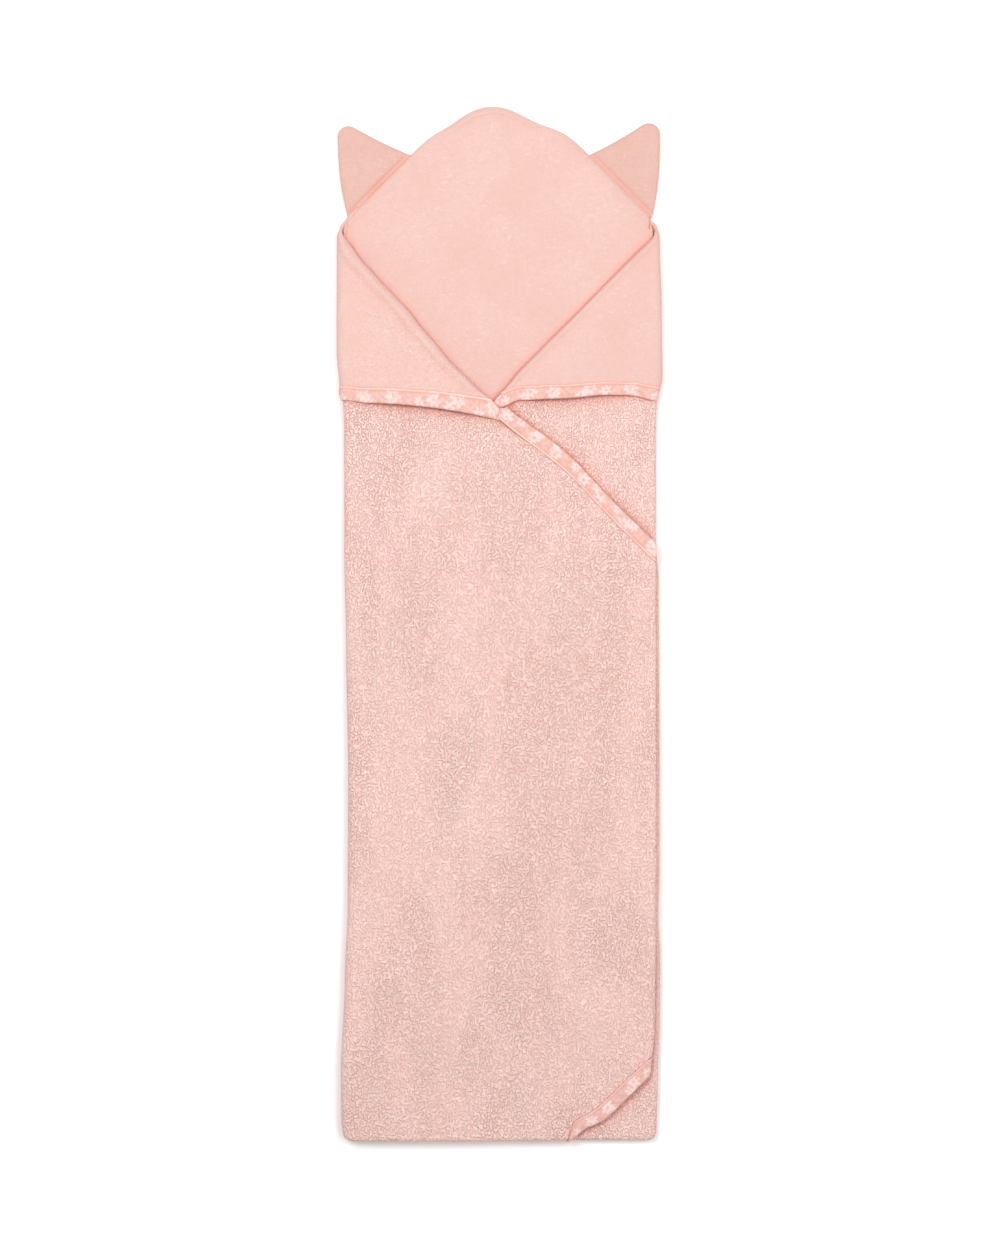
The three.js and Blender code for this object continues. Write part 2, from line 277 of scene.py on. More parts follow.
class SideFold:
    """Lays flat cloth in its folds: u runs across from the side fold and v along the towel.

    Below u = 0 the cloth runs under the bundle. At the side fold it bends up and over, at TAIL_U it
    turns back under itself, and at the bottom it is turned up inside. side is -1 left, 1 right."""

    def __init__(self, side, outer, low, high, tail_fold, relief, under_relief, shift):
        self.side = side
        self.outer = outer
        self.low = low
        self.high = high
        self.tail_fold = tail_fold
        self.relief = relief
        self.under_relief = under_relief
        self.shift = shift

    def rows(self, v):
        """Where v lies along the bundle, and how far it has gone inside the turned-up bottom."""
        inside = PITCH / 2
        centre = BOTTOM_Y + HALF_CLOTH + inside - TURN_V
        turn = np.clip((centre + TURN_V - v) / (2 * TURN_V), 0, 1) * math.pi
        above = np.maximum(v - centre - TURN_V, 0)
        below = np.maximum(centre - TURN_V - v, 0)
        y = BOTTOM_Y + HALF_CLOTH + inside * (1 - np.sin(turn)) + above + below
        return y, inside * (1 - np.cos(turn))

    def fold_x(self, y, nested):
        """How far out the side fold runs there."""
        low_corner = np.clip((BOTTOM_Y + 7 - y) / 7, 0, 1)
        return along(self.outer, y) - 0.8 * nested - 4.0 * (1 - np.sqrt(1 - low_corner**2))

    def reach(self, y, nested):
        """How far the cloth swings out as it bends round the side fold."""
        return np.minimum(5.0, (self.high(y) - self.low(y)) / 2 - nested + 0.5)

    def bend_x(self, y, nested):
        """How far out the bend starts."""
        return self.fold_x(y, nested) - self.reach(y, nested)

    def at(self, u, v):
        """The middle of the cloth at u, v."""
        u, v = np.broadcast_arrays(np.asarray(u, float), np.asarray(v, float))
        y, nested = self.rows(v)
        low = self.low(y) + nested
        high = self.high(y) - nested
        reach = self.reach(y, nested)
        centre = reach - self.fold_x(y, nested)
        bend = np.clip((u + BEND_U) / (2 * BEND_U), 0, 1) * math.pi
        tail_x = along(self.tail_fold, y) - 0.8 * nested
        drop = PITCH / 2
        stop = TAIL_U - TAIL_BEND_U
        share = np.clip((u - BEND_U) / (stop - BEND_U), 0, 1)
        turn = np.clip((u - stop) / (2 * TAIL_BEND_U), 0, 1) * math.pi
        past = np.maximum(u - TAIL_U - TAIL_BEND_U, 0)
        under = np.maximum(-BEND_U - u, 0)
        x = centre - reach * np.sin(bend) + share * (tail_x - drop - centre)
        x = (x + under + drop * np.sin(turn) - past) * -self.side
        z = (low + high) / 2 - (high - low) / 2 * np.cos(bend) - drop * (1 - np.cos(turn))
        over = smooth((u - BEND_U + 4) / 18.0) * (1 - nested / PITCH)
        z = z + self.relief(x, y) * over
        z = z + self.under_relief(x, y) * smooth((under - 4) / 18.0)
        slump = dome_shift(x, y) * smooth(under / 10.0)
        return np.stack([x, y + self.shift(x, y) * over + slump, z], -1)

    def normal(self, u, v):
        """The way that the towel's looped outer face looks."""
        e = 0.15
        across = self.at(u + e, v) - self.at(u - e, v)
        lengthwise = self.at(u, v + e) - self.at(u, v - e)
        n = np.cross(across, lengthwise) * -self.side
        return n / np.maximum(np.linalg.norm(n, axis=-1, keepdims=True), 1e-9)


left_body = SideFold(
    -1, LEFT_BODY_FOLD, back_height, left_height, LEFT_TAIL_FOLD, left_relief, no_relief, left_body_shift
)
right_body = SideFold(
    1, RIGHT_BODY_FOLD, back_height, right_height, RIGHT_TAIL_FOLD, right_relief, back_relief, right_shift
)
left_hood = SideFold(
    -1, LEFT_HOOD_FOLD, hood_height, left_flap_height, LEFT_TAIL_FOLD, left_flap_relief, no_relief,
    left_flap_shift,
)
right_hood = SideFold(
    1, RIGHT_HOOD_FOLD, hood_height, right_flap_height, LEFT_TAIL_FOLD, right_flap_relief, no_relief,
    right_shift,
)


# --- meshes


def link_object(name, data):
    made = bpy.data.objects.new(name, data)
    bpy.context.scene.collection.objects.link(made)
    return made


def make_object(name, points, faces, materials, indices=None, uv=None):
    """A mesh object from points in millimetres, with doubled points merged and smooth faces."""
    mesh = bpy.data.meshes.new(name)
    mesh.from_pydata((np.asarray(points) * MM).tolist(), [], np.asarray(faces).tolist())
    for material in materials:
        mesh.materials.append(material)
    if indices is not None:
        mesh.polygons.foreach_set("material_index", np.asarray(indices, np.int32))
    if uv is not None:
        layer = mesh.uv_layers.new(name="tape")
        loops = np.zeros(len(mesh.loops), np.int32)
        mesh.loops.foreach_get("vertex_index", loops)
        layer.data.foreach_set("uv", np.asarray(uv, np.float32)[loops].ravel())
    form = bmesh.new()
    form.from_mesh(mesh)
    bmesh.ops.remove_doubles(form, verts=form.verts, dist=2e-6)
    bmesh.ops.dissolve_degenerate(form, edges=form.edges, dist=1e-6)
    loose = [vertex for vertex in form.verts if not vertex.link_faces]
    bmesh.ops.delete(form, geom=loose, context="VERTS")
    for face in form.faces:
        face.smooth = True
    if form.calc_volume(signed=True) < 0:
        bmesh.ops.reverse_faces(form, faces=form.faces)
    form.to_mesh(mesh)
    form.free()
    return link_object(name, mesh)


def grid_faces(rows, columns):
    """The quads of a grid of points, row by row."""
    index = np.arange(rows * columns).reshape(rows, columns)
    quads = [index[:-1, :-1], index[:-1, 1:], index[1:, 1:], index[1:, :-1]]
    return np.stack([q.ravel() for q in quads], -1)


def thick_sheet(name, middle, normal, over, under, materials, flip, uv=None):
    """A closed sheet from a grid of middle points.

    It reaches over along normal and under against it; where both are 0 the two faces meet."""
    rows, columns = over.shape
    upper = (middle + normal * over[..., None]).reshape(-1, 3)
    lower = (middle - normal * under[..., None]).reshape(-1, 3)
    top = grid_faces(rows, columns)
    bottom = top[:, ::-1] + rows * columns
    if flip:
        top, bottom = top[:, ::-1], bottom[:, ::-1]
    indices = [0] * len(top) + [1] * len(bottom)
    if uv is not None:
        uv = np.vstack([uv.reshape(-1, 2)] * 2)
    return make_object(name, np.vstack([upper, lower]), np.vstack([top, bottom]), materials, indices, uv)


def spaced(start, stop, step):
    """Evenly spaced values from start to stop, about step apart."""
    return np.linspace(start, stop, max(2, int(round(abs(stop - start) / step)) + 1))


def joined(*runs):
    """Runs of values one after the other, with the values that two runs share kept once."""
    values = np.concatenate(runs)
    return values[np.concatenate([[True], np.abs(np.diff(values)) > 1e-6])]


# How far in from a rim the first columns of a sheet lie.
RIM_STEPS = np.array([0.0, 0.18, 0.6, 1.3, 2.4])


def between(columns, low, high):
    """Every row's u values: the columns held between low and high, with close ones at both rims."""
    deepest = np.minimum(RIM_STEPS[-1], (high - low) * 0.49)
    scale = (deepest / RIM_STEPS[-1])[:, None]
    first = low[:, None] + RIM_STEPS[None, :-1] * scale
    last = high[:, None] - RIM_STEPS[None, -2::-1] * scale
    inner = np.clip(columns[None, :], (low + deepest)[:, None], (high - deepest)[:, None])
    return np.concatenate([first, inner, last], axis=1)


def rim(distance, width):
    """Share of the full thickness at a distance from a rounded rim."""
    t = np.clip(distance / width, 0, 1)
    return np.sqrt(np.clip(1 - (1 - t) ** 2, 0, 1))


def dome_half_width(y):
    """Half the width of the rounded hood corner at y."""
    arc = np.sqrt(np.clip(HOOD_RADIUS**2 - (y - ARC_Y) ** 2, 0, None))
    return np.where(y > CORNER_Y - HOOD_RADIUS / ROOT2, arc, CORNER_Y - y)


def dome_distance(x, y):
    """How far inside the sewn edge of the hood corner a point lies."""
    round_part = HOOD_RADIUS - np.hypot(x, y - ARC_Y)
    straight = (CORNER_Y - y - np.abs(x)) / ROOT2
    return np.where((y - ARC_Y) > np.abs(x), round_part, straight)


def cut_u(v):
    """How far from the side fold the flat square was cut, at v along the towel."""
    return np.where(v > WIDEST_Y, SHOULDER_Y - v, v - LOWEST_V - HALF_WIDTH)


def back_low_u(fold, v, left_x):
    """The u at which the right side's cloth, run under the bundle, reaches left_x on the left."""
    return -BEND_U - (fold.bend_x(*fold.rows(v)) + left_x)


def back_left_x(fold, v):
    """How far left the back reaches: nearly to the left fold, or to the rounded sewn edge."""
    y, nested = fold.rows(v)
    left_x = fold.bend_x(y, nested) - 2.0
    return np.where(y > SHOULDER_Y - 2, np.minimum(left_x, dome_half_width(y)), left_x)


def sewn_cut_u(fold, v):
    """The cut, or the rounded sewn edge where the hood corner is rounded off."""
    y, nested = fold.rows(v)
    rounded = -BEND_U - (fold.bend_x(y, nested) - dome_half_width(y))
    return np.where(v > CORNER_Y - HOOD_RADIUS / ROOT2, rounded, cut_u(v))


CROSSING_U = float(cut_u(OPENING_Y))
# How far the left flap's seam is drawn in along the vee, as (y, distance across).
DRAWN_IN = [
    (284, 0.0), (262, 4.5), (250, 5.6), (233, 5.8), (216, 9.0), (196, 10.6), (180, 8.4),
    (OPENING_Y, 1.0), (OPENING_Y - 8, 0.0),
]


def flap_cut_u(fold, v):
    """The sewn edge of the hood and its flap, drawn in a little on the left."""
    drawn_in = along(DRAWN_IN, v) if fold.side < 0 else 0.0
    return sewn_cut_u(fold, v) - drawn_in


# Rows and columns of the sheets, closer together where the cloth bends.
DOME_ROWS = ARC_Y + HOOD_RADIUS * np.cos(np.linspace(0.02, math.pi / 4, 26))
BACK_ROWS = joined(
    DOME_ROWS,
    spaced(DOME_ROWS[-1], SHOULDER_Y + 12, FINE),
    spaced(SHOULDER_Y + 12, SHOULDER_Y - 8, 1.2),
)
LEFT_ROWS = spaced(SHOULDER_Y + 15, SHOULDER_Y - 10, 1.2)
BEND_COLUMNS = spaced(-BEND_U - 1, BEND_U, 1.4)
LAST_V = WIDEST_Y - TIP_U
BACK_LOW_U = -240.0


def body_rows(top):
    return joined(
        top,
        spaced(top[-1], BOTTOM_Y + 8, FINE),
        spaced(BOTTOM_Y + 8, BOTTOM_Y - 5, 0.7),
        spaced(BOTTOM_Y - 5, LAST_V + 2, COARSE),
    )


def body_columns(low):
    return joined(
        spaced(low, -BEND_U - 1, FINE),
        BEND_COLUMNS,
        spaced(BEND_U, TAIL_U - 4, FINE),
        spaced(TAIL_U - 4, TAIL_U + 4, 0.8),
        spaced(TAIL_U + 4, TIP_U, COARSE),
    )


def pinch(distance, u):
    """How much of the way the two sewn layers come together near the hood's edge."""
    return (1 - smooth(distance / 6.0)) * (1 - smooth((u + 5) / 8.0))


def laid(fold, v, low, high, columns):
    """A grid of cloth in its folds: u, v, middle, normal, and how far in from its three edges."""
    u = between(columns, low, high)
    rows = np.broadcast_to(v[:, None], u.shape)
    middle = fold.at(u, rows)
    from_cut = (high[:, None] - u) / ROOT2
    from_low = u - low[:, None]
    sewn = (v > SHOULDER_Y - 1)[:, None]
    from_sewn = np.where(sewn, np.minimum(dome_distance(middle[..., 0], rows), from_cut), FAR)
    return u, rows, middle, fold.normal(u, rows), from_cut, from_low, from_sewn


def body_cloth(name, fold, v, low, columns, thinner_start=0.0):
    """The towel's cloth, from low under the bundle round the side fold to its cut edge."""
    hidden_seam = 5.0 * smooth((SHOULDER_Y + 5 - v) / 14.0) * smooth((v - SEWN_IN_Y) / 12.0)
    high = flap_cut_u(fold, v) - hidden_seam
    u, rows, middle, normal, from_cut, from_low, from_sewn = laid(fold, v, low, high, columns)
    middle[..., 2] -= (PITCH / 2 - 0.1) * pinch(from_sewn, u)
    full = smooth((from_cut - TAPE_WIDTH + 1.5) / 3.0)
    full = np.where(rows > BOUND_TOP_Y, 1.0, full)
    half = HALF_UNDER_TAPE + (HALF_CLOTH - HALF_UNDER_TAPE) * full
    half = half * rim(from_cut, CUT_RIM) * rim(from_low, CUT_RIM)
    half = half * (1 - thinner_start * smooth((-BEND_U - 1 - u) / 2.0))
    ridge = 1.3 * bell(from_sewn, 3.4, 1.9) - 0.5 * bell(from_sewn, 7.2, 1.6)
    inner_face = half + ridge * (1 - smooth((u + 5) / 8.0)) * rim(from_cut, 2.0)
    half[0] = half[-1] = inner_face[0] = inner_face[-1] = 0
    return thick_sheet(name, middle, normal, half, inner_face, [terry, knit], flip=fold.side < 0)


def hood_cloth(name, fold, v, low, columns, materials, roll_width, roll_rise, thinner_start=0.0):
    """The hood's cloth, whose flap ends in a roll over the sewn edge of the vee."""
    high = flap_cut_u(fold, v)
    u, rows, middle, normal, from_cut, from_low, from_sewn = laid(fold, v, low, high, columns)
    from_opening = rows - OPENING_Y
    middle[..., 2] += (PITCH / 2 - 0.25) * pinch(from_sewn, u)
    under_tape = 1 - smooth((from_opening - TAPE_WIDTH + 1.5) / 3.0)
    half = HALF_CLOTH - (HALF_CLOTH - HALF_UNDER_TAPE) * under_tape
    half = half * rim(from_low, CUT_RIM) * rim(from_opening, CUT_RIM)
    half = half * (1 - thinner_start * smooth((-BEND_U - 1 - u) / 2.0))
    on_flap = smooth((u - 2) / 8.0) * smooth((from_opening - TAPE_WIDTH) / 4.0)
    across = np.clip(from_cut / roll_width, 0, 1)
    bulge = roll_rise * np.sin(across * math.pi) ** 1.5
    groove = -0.9 * bell(from_cut - roll_width, 1.0, 1.8)
    rounding = rim(from_cut, 2.6 * on_flap + CUT_RIM)
    over = (half + (bulge + groove) * on_flap) * rounding
    down = PITCH * (1 - smooth((from_cut - 2.5) / 3.0)) * on_flap
    under = (half + down) * rounding
    edge_drop = down * (1 - rim(from_cut, 4.0)) * 0.5
    middle = middle - normal * edge_drop[..., None]
    for side in (over, under):
        side[0] = side[-1] = 0
    return thick_sheet(name, middle, normal, over, under, materials, flip=fold.side < 0)


def length_along(edge):
    """How far along the edge each of its points lies."""
    return np.concatenate([[0], np.cumsum(np.hypot(*np.diff(edge, axis=0).T))])


# How far in from the tape's inner edge its columns lie, on both faces.
TAPE_STEPS = np.array([0.0, 0.25, 0.8, 1.2, 1.6, 2.2, 3.2, 4.4, 5.6, 6.8, 7.6, 8.2])


def tape(name, fold, edge, inward, seed, run_start=0.0, rise=None, shown=None, trim=None):
    """A folded tape over a cut edge. rise lifts it, shown narrows its outer face, trim slants an end."""
    inward = np.array(inward)
    tip = 0.9
    top = TAPE_WIDTH - TAPE_STEPS
    around = np.linspace(0, math.pi, 9)
    depth = np.concatenate([top, np.full(len(around), tip), top[::-1]])
    phi = np.concatenate([np.zeros(len(top)), around, np.full(len(top), math.pi)])
    inset = np.broadcast_to(depth[None, :], (len(edge), len(depth)))
    if shown is not None:
        narrowed = tip + (inset - tip) * shown(edge[:, 0])[:, None]
        inset = np.where(phi[None, :] == 0, narrowed, inset)
    flat = edge[:, None, :] + inward[None, None, :] * inset[..., None]
    if trim is not None:
        flat = trim(flat)
    centre = fold.at(flat[..., 0], flat[..., 1])
    up = fold.normal(flat[..., 0], flat[..., 1])
    rim_point = fold.at(edge[:, 0], edge[:, 1])
    inner = fold.at(edge[:, 0] + inward[0], edge[:, 1] + inward[1])
    out = rim_point - inner
    out = (out / np.linalg.norm(out, axis=-1, keepdims=True))[:, None, :]
    way = up * np.cos(phi)[None, :, None] + out * np.sin(phi)[None, :, None]
    run = np.broadcast_to((run_start + length_along(edge))[:, None], centre.shape[:2])
    from_inner = (TAPE_WIDTH - depth)[None, :]
    seam = bell(from_inner, STITCH_INSET, 0.6)
    pucker = 0.09 * np.sin(run * 2 * math.pi / STITCH_PITCH) * bell(from_inner, 2.6, 1.8)
    crumple = 0.16 * np.clip(swell(run, depth[None, :] * 1.5, seed, 11), -0.3, 1)
    body = np.sin(np.clip(depth / TAPE_WIDTH, 0, 1) * math.pi)[None, :]
    hem = 0.3 * bell(from_inner, 0.5, 0.5)
    lift = TAPE_LIFT - 0.5 * seam + hem + pucker + crumple * body + 0.35 * body
    middle = centre + way * lift[..., None]
    if rise is not None:
        middle[..., 2] += rise(flat[..., 0])
    half = np.full(run.shape, HALF_TAPE)
    half[:, 0] = half[:, -1] = 0
    half[0] = half[-1] = 0
    tip_step = 0.45
    steps = np.where(np.diff(phi) > 0, tip_step, np.abs(np.diff(depth)))
    across = np.concatenate([[0], np.cumsum(steps)])
    uv = np.stack([run * MM, np.broadcast_to(across[None, :] * MM, run.shape)], -1)
    return thick_sheet(name, middle, way, half, half, [printed, printed], fold.side < 0, uv)


def stitches(name, fold, edge, inward):
    """A row of short threads sewn along a tape, on the face that shows."""
    inward = np.array(inward)
    length = length_along(edge)
    sides = STITCH_SIDES
    bow = np.array([-0.35, 0.0, 0.12, 0.0, -0.35])
    radius = STITCH_RADIUS * np.array([0.05, 0.9, 1.0, 0.9, 0.05])
    last_ring = len(radius) - 1
    points, faces = [], []
    for start in np.arange(1.0, length[-1] - STITCH_LENGTH, STITCH_PITCH):
        runs = start + np.linspace(0, 1, len(radius)) * STITCH_LENGTH
        flat = np.stack([np.interp(runs, length, edge[:, k]) for k in (0, 1)], -1)
        flat = flat + inward * (TAPE_WIDTH - STITCH_INSET)
        up = fold.normal(flat[:, 0], flat[:, 1])
        spine = fold.at(flat[:, 0], flat[:, 1]) + up * (TAPE_LIFT + HALF_TAPE + bow)[:, None]
        ahead = np.gradient(spine, axis=0)
        ahead /= np.linalg.norm(ahead, axis=1, keepdims=True)
        beside = np.cross(ahead, up)
        base = len(points)
        for ring in range(last_ring + 1):
            for k in range(sides):
                turn = 2 * math.pi * k / sides
                way = beside[ring] * math.cos(turn) + up[ring] * math.sin(turn)
                points.append(spine[ring] + way * radius[ring])
        for a in range(base, base + last_ring * sides):
            b = a + 1 if (a + 1 - base) % sides else a + 1 - sides
            faces.append([a, b, b + sides, a + sides])
        faces.append([base + k for k in reversed(range(sides))])
        faces.append([base + last_ring * sides + k for k in range(sides)])
    mesh = bpy.data.meshes.new(name)
    mesh.from_pydata((np.array(points) * MM).tolist(), [], faces)
    mesh.materials.append(thread)
    form = bmesh.new()
    form.from_mesh(mesh)
    bmesh.ops.recalc_face_normals(form, faces=form.faces)
    for face in form.faces:
        face.smooth = True
    form.to_mesh(mesh)
    form.free()
    return link_object(name, mesh)


# --- materials


# Painted shade: a deep red mixed into the colour in creases, gaps and under edges, where ambient
# occlusion finds little open around.
PAINTED_CREASE_SHADE = (0.78, 0.33, 0.255, 1)
SHEEN_TINT = (1.0, 0.62, 0.52, 1.0)


class Nodes:
    """A short way to write a material's nodes. Sizes are in millimetres."""

    def __init__(self, name):
        self.material = bpy.data.materials.new(name)
        self.material.use_nodes = True
        self.tree = self.material.node_tree
        self.shader = self.tree.nodes["Principled BSDF"]

    def put(self, socket, value):
        """Links another node's output to a socket, or sets the socket to a value."""
        if isinstance(value, bpy.types.NodeSocket):
            self.tree.links.new(value, socket)
        else:
            socket.default_value = value

    def node(self, kind, **settings):
        made = self.tree.nodes.new(kind)
        for key, value in settings.items():
            setattr(made, key, value)
        return made

    def math(self, operation, *values):
        made = self.node("ShaderNodeMath", operation=operation)
        for socket, value in zip(made.inputs, values):
            self.put(socket, value)
        return made.outputs[0]

    def plus(self, first, second):
        return self.math("ADD", first, second)

    def minus(self, first, second):
        return self.math("SUBTRACT", first, second)

    def times(self, first, second):
        return self.math("MULTIPLY", first, second)

    def between(self, value, low, high, to_low=0.0, to_high=1.0):
        """Rises smoothly from to_low to to_high as value goes from low to high."""
        made = self.node("ShaderNodeMapRange", interpolation_type="SMOOTHSTEP")
        for socket, number in zip(made.inputs, (value, low, high, to_low, to_high)):
            self.put(socket, number)
        return made.outputs[0]

    def place(self, stretch):
        """Object coordinates; a stretch below 1 makes the pattern longer that way."""
        made = self.node("ShaderNodeMapping")
        coordinates = self.node("ShaderNodeTexCoord")
        self.put(made.inputs["Vector"], coordinates.outputs["Object"])
        made.inputs["Scale"].default_value = stretch
        return made.outputs[0]

    def noise(self, size_mm, detail=2.0, stretch=(1.0, 1.0, 1.0), distortion=0.0):
        made = self.node("ShaderNodeTexNoise")
        self.put(made.inputs["Vector"], self.place(stretch))
        made.inputs["Scale"].default_value = 1000.0 / size_mm
        made.inputs["Detail"].default_value = detail
        made.inputs["Distortion"].default_value = distortion
        return made.outputs["Fac"]

    def cells(self, size_mm, stretch):
        """How far each point lies from the middle of its cell."""
        made = self.node("ShaderNodeTexVoronoi")
        self.put(made.inputs["Vector"], self.place(stretch))
        made.inputs["Scale"].default_value = 1000.0 / size_mm
        return made.outputs["Distance"]

    def mix(self, share, first, second):
        made = self.node("ShaderNodeMix", data_type="RGBA")
        self.put(made.inputs[0], share)
        self.put(made.inputs[6], first)
        self.put(made.inputs[7], second)
        return made.outputs[2]

    def with_painted_crease_shade(self, colour, reach_mm, least):
        """The colour, turning to painted crease shade where only a share of least lies open around it."""
        open_share = self.node("ShaderNodeAmbientOcclusion", samples=6)
        open_share.inputs["Distance"].default_value = reach_mm * MM
        return self.mix(self.between(open_share.outputs["AO"], least, 0.98), PAINTED_CREASE_SHADE, colour)

    def finish(self, colour, height, depth_mm, roughness, sheen, painted_shade_reach_mm=9.0, least=0.38):
        """Sets up the shader with a colour, a bump of that depth, and painted shade in creases of that
        reach.
        """
        self.put(self.shader.inputs["Base Color"], self.with_painted_crease_shade(colour, painted_shade_reach_mm, least))
        settings = {"Roughness": roughness, "Sheen Weight": sheen, "Sheen Roughness": 0.5,
                    "Sheen Tint": SHEEN_TINT, "Specular IOR Level": 0.05}
        for name, value in settings.items():
            self.shader.inputs[name].default_value = value
        bump = self.node("ShaderNodeBump")
        bump.inputs["Distance"].default_value = depth_mm * MM
        self.put(bump.inputs["Height"], height)
        self.put(self.shader.inputs["Normal"], bump.outputs[0])
        return self.material


def terry_material():
    """The looped face: painted shade in the gaps between the loops, painted highlight on their crowns,
    and patches where they stand up.
    """
    n = Nodes("terry")
    loops = n.cells(1.35, (1.0, 0.8, 1.0))
    strokes = n.noise(1.4, 2.0, (1.0, 0.8, 1.0), 0.8)
    clumps = n.noise(4.0, 1.0)
    patches = n.between(n.noise(26.0, 2.0, (1.0, 0.35, 1.0)), 0.38, 0.62)
    streaks = n.noise(14.0, 2.0, (1.0, 0.22, 1.0))
    blotches = n.noise(60.0, 2.0)
    between_loops = n.between(loops, 0.42, 0.80)
    # Painted shade: darker colour where the bump sinks between the loops.
    painted_gap_shade = n.times(between_loops, n.between(strokes, 0.40, 0.60, 0.0, 0.8))
    painted_gap_shade = n.times(painted_gap_shade, n.plus(0.5, n.times(patches, 0.6)))
    # Painted highlight: paler colour on the raised crowns of the loops.
    painted_crown_highlight = n.times(n.between(strokes, 0.52, 0.68), n.times(patches, 0.7))
    standing = n.times(n.minus(1.0, between_loops), 0.6)
    pile = n.plus(n.plus(standing, n.times(strokes, 0.9)), n.times(clumps, 0.25))
    pile = n.times(n.minus(pile, 0.85), n.plus(0.9, n.times(patches, 0.2)))
    light = n.mix(n.between(clumps, 0.3, 0.7), (0.925, 0.612, 0.556, 1), (0.970, 0.680, 0.624, 1))
    light = n.mix(painted_crown_highlight, light, (0.985, 0.80, 0.72, 1))
    base = n.mix(painted_gap_shade, light, (0.78, 0.39, 0.31, 1))
    warm = n.mix(n.between(streaks, 0.35, 0.7, 0.0, 0.25), base, (0.97, 0.71, 0.65, 1))
    colour = n.mix(n.between(blotches, 0.35, 0.7, 0.0, 0.18), warm, (0.89, 0.54, 0.475, 1))
    return n.finish(colour, pile, 1.45, 0.95, 0.1, 15.0, 0.46)


def knit_material(name, shade, grain=0.5):
    """Smooth cloth; shade is its colour, around which it is mottled, and grain how strongly."""
    n = Nodes(name)
    fine = n.noise(1.3, 2.0, (1.0, 0.8, 1.0), 0.3)
    soft = n.noise(5.0, 2.0)
    blotches = n.noise(40.0, 3.0)
    strokes = n.noise(2.2, 1.0, (0.5, 1.1, 1.0), 0.5)
    patches = n.between(n.noise(30.0, 2.0), 0.42, 0.62)
    patchy = n.plus(grain / 2, n.times(patches, grain))
    flecks = n.times(n.between(strokes, 0.60, 0.74), patchy)
    pits = n.times(n.between(fine, 0.30, 0.46, 1.0, 0.0), n.times(patchy, grain))
    pile = n.plus(n.times(fine, 0.6), n.times(soft, 0.4))
    pile = n.plus(pile, n.times(flecks, 0.3))
    dark, light, pale, deep = [
        [channel * factor for channel, factor in zip(shade, factors)] + [1]
        for factors in ((0.965,) * 3, (1.035,) * 3, (1.10, 1.20, 1.20), (0.97, 0.88, 0.85))
    ]
    base = n.mix(n.between(pile, 0.35, 0.65), dark, light)
    spotted = n.mix(n.times(pits, 0.8), n.mix(flecks, base, pale), deep)
    colour = n.mix(n.between(blotches, 0.35, 0.7, 0.0, 0.45), spotted, deep)
    return n.finish(colour, pile, 0.5, 0.93, 0.1, 7.0, 0.42)


# The two lanes of printed flowers: spacing, offset, distance across the tape, and radius.
FLOWER_LANES = [(24.0, 0.0, 3.8, 5.6), (19.0, 9.0, 8.4, 4.2)]


def printed_flowers(n, run, across, lane, spacing, offset, centre, radius):
    """A lane of daisies along the tape, each turned and placed at random in its own stretch."""
    cells = n.math("DIVIDE", n.plus(run, offset), spacing)
    pair = n.node("ShaderNodeCombineXYZ")
    n.put(pair.inputs[0], n.math("FLOOR", cells))
    n.put(pair.inputs[1], lane + 0.5)
    draw = n.node("ShaderNodeTexWhiteNoise", noise_dimensions="2D")
    n.put(draw.inputs["Vector"], pair.outputs[0])
    random = n.node("ShaderNodeSeparateXYZ")
    n.put(random.inputs[0], draw.outputs["Color"])
    middle = n.plus(0.3, n.times(random.outputs[0], 0.4))
    dx = n.times(n.minus(n.math("FRACT", cells), middle), spacing)
    dy = n.minus(across, n.plus(centre - 1.5, n.times(random.outputs[1], 3.0)))
    reach = n.math("SQRT", n.plus(n.times(dx, dx), n.times(dy, dy)))
    angle = n.plus(n.math("ARCTAN2", dy, dx), n.times(random.outputs[2], 2 * math.pi))
    lobes = n.math("ABSOLUTE", n.math("COSINE", n.times(angle, 3.5)))
    petal = n.times(n.plus(0.45, n.times(lobes, 0.55)), radius)
    flower = n.between(n.minus(petal, reach), -0.3, 0.4)
    eye = n.between(reach, radius * 0.18, radius * 0.26)
    return n.times(flower, n.plus(0.25, n.times(eye, 0.75)))


def line_along(n, across, inset, near, far):
    """A line along the tape at that inset, fading out from near to far on each side."""
    return n.minus(1.0, n.between(n.math("ABSOLUTE", n.minus(across, inset)), near, far))


